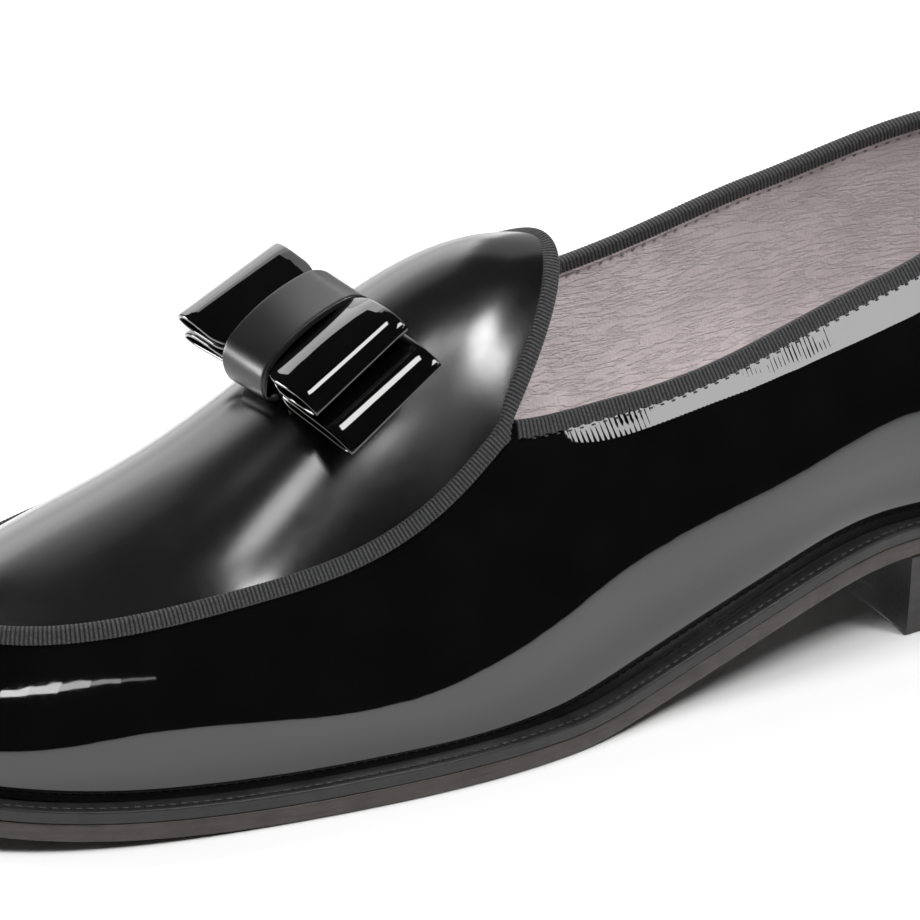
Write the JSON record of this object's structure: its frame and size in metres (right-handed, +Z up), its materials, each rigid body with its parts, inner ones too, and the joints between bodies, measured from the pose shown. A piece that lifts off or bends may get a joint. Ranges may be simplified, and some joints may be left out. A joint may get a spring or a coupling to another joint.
{
  "type": "tuxedo loafer",
  "caption": "Left slip-on evening shoe in black patent leather: hollow upper with a raised apron and tab, ribbed tape bindings, a flat bow, stitched welt, thin sole and low heel.",
  "frame": {"origin": "on the ground, at the middle of the box round the shoe", "axes": "+X to the outer side of the left foot, -Y to the toe, +Z up"},
  "size_m": [0.0994, 0.298, 0.0935],
  "materials": {
    "patent": "mirror-gloss black patent",
    "smooth_calf": "semi-gloss smooth black calf",
    "ribbed_tape": "black ribbed grosgrain tape",
    "lining": "matt mauve-grey lining leather",
    "welt_leather": "waxed black, stitched",
    "sole_leather": "dyed dark brown-black edge",
    "heel_block": "dyed black stacked block"
  },
  "bodies": {
    "root": {"outsole": "sole_leather", "heel": "heel_block", "welt": "welt_leather", "insole": "lining", "upper": "patent", "topline_binding": "ribbed_tape", "plug_binding": "ribbed_tape", "bow_lower_loop": "patent", "bow_upper_loop": "patent", "bow_band": "smooth_calf"}
  },
  "joints": []
}
